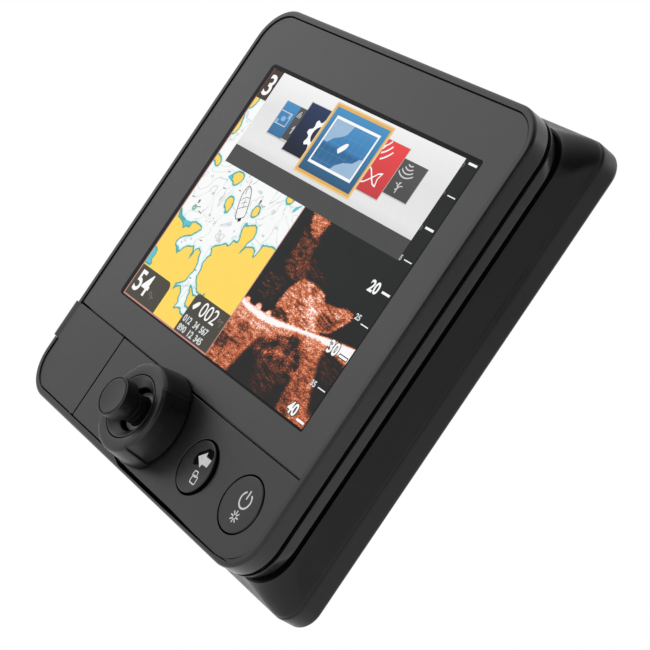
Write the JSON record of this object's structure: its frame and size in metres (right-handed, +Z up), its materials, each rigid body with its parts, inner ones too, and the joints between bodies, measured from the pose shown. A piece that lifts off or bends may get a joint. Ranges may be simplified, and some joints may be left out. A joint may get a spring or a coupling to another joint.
{
  "type": "chartplotter display",
  "caption": "Square marine chartplotter display with a bonded screen window, card door, rotary knob with joystick, push keys and a flared rear housing with a deep mounting box.",
  "frame": {"origin": "centre of the flat rear mounting face of the deep box on the back", "axes": "+Y out of the back of the unit, so the screen faces -Y; +X to the viewer's right, +Z up"},
  "size_m": [0.1564, 0.0636, 0.1564],
  "materials": {
    "bezel_plastic": "satin black-grey moulding with a fine spark texture",
    "window_acrylic": "smooth dark printed window, anti-glare",
    "panel_plastic": "smooth satin dark grey",
    "adhesive": "black foam tape",
    "steel": "stainless, bright",
    "rubber": "matte black rubber",
    "knob_plastic": "soft-touch dark grey",
    "moulded_component": "black glass-filled nylon",
    "key_plastic": "satin dark grey with white symbols",
    "circuit_board": "green solder mask",
    "lcd_glass": "polarised glass",
    "tinplate": "tin-plated sheet",
    "flex_film": "amber polyimide film",
    "frame_plastic": "satin dark grey moulding",
    "aluminium": "plain machined",
    "ceramic": "unglazed ceramic with a silver patch",
    "housing_plastic": "matte black moulding with a fine texture",
    "brass": "bright turned brass"
  },
  "bodies": {
    "root": {"front_bezel": "bezel_plastic", "display_window": "window_acrylic", "control_panel": "panel_plastic", "window_adhesive": "adhesive", "panel_adhesive": "adhesive", "lcd_gasket": "adhesive", "card_door_hinge_pin": "steel", "joystick_press_dome": "steel", "board_screw_1": "steel", "board_screw_2": "steel", "board_screw_3": "steel", "board_screw_4": "steel", "case_screw_1": "steel", "case_screw_2": "steel", "case_screw_3": "steel", "case_screw_4": "steel", "keypad_membrane": "rubber", "front_seal": "rubber", "rear_seal": "rubber", "cable_socket_seal": "rubber", "vent_plug": "rubber", "encoder_body": "moulded_component", "joystick_housing": "moulded_component", "home_switch": "moulded_component", "power_switch": "moulded_component", "alarm_buzzer": "moulded_component", "power_capacitor": "moulded_component", "cable_socket": "moulded_component", "key_board": "circuit_board", "main_board": "circuit_board", "card_board": "circuit_board", "lcd_panel": "lcd_glass", "lcd_backlight": "tinplate", "sonar_shield": "tinplate", "card_socket": "tinplate", "lcd_flex_cable": "flex_film", "key_cable": "flex_film", "mid_frame": "frame_plastic", "processor_heat_sink": "aluminium", "cable_socket_nut": "aluminium", "gps_antenna": "ceramic", "rear_housing": "housing_plastic", "mount_insert_1": "brass", "mount_insert_2": "brass", "mount_insert_3": "brass", "mount_insert_4": "brass", "cable_socket_pins": "brass"},
    "knob": {"rotary_knob": "knob_plastic", "knob_trim_ring": "knob_plastic", "encoder_rotor": "moulded_component"},
    "stick_gimbal": {"joystick_gimbal": "moulded_component"},
    "stick_cradle": {"joystick_cradle": "moulded_component"},
    "stick": {"joystick_cap": "knob_plastic", "joystick_stem": "moulded_component", "joystick_boot": "rubber"},
    "home_key": {"home_button": "key_plastic"},
    "power_key": {"power_button": "key_plastic"},
    "door": {"card_door": "panel_plastic", "card_door_seal": "rubber"}
  },
  "joints": [
    {"name": "knob_turn", "type": "hinge", "parent": "root", "child": "knob", "pos_m": [0.00075, -0.046, -0.0561], "axis": [0, 1, 0], "continuous": true},
    {"name": "joystick_tilt_up_down", "type": "hinge", "parent": "root", "child": "stick_gimbal", "pos_m": [0.00075, -0.041, -0.0561], "axis": [1, 0, 0], "range_deg": [-6, 6], "stiffness_Nm_per_rad": 0.15},
    {"name": "joystick_tilt_left_right", "type": "hinge", "parent": "stick_gimbal", "child": "stick_cradle", "pos_m": [0.00075, -0.041, -0.0561], "axis": [0, 0, 1], "range_deg": [-6, 6], "stiffness_Nm_per_rad": 0.15},
    {"name": "joystick_press", "type": "slide", "parent": "stick_cradle", "child": "stick", "axis": [0, 1, 0], "range_m": [0, 0.0006], "stiffness_N_per_m": 4000},
    {"name": "home_button_press", "type": "slide", "parent": "root", "child": "home_key", "axis": [0, 1, 0], "range_m": [0, 0.0008], "stiffness_N_per_m": 2500},
    {"name": "power_button_press", "type": "slide", "parent": "root", "child": "power_key", "axis": [0, 1, 0], "range_m": [0, 0.0008], "stiffness_N_per_m": 2500},
    {"name": "card_door_swing", "type": "hinge", "parent": "root", "child": "door", "pos_m": [-0.04285, -0.0445, -0.0578], "axis": [0, 0, 1], "range_deg": [0, 95]}
  ]
}
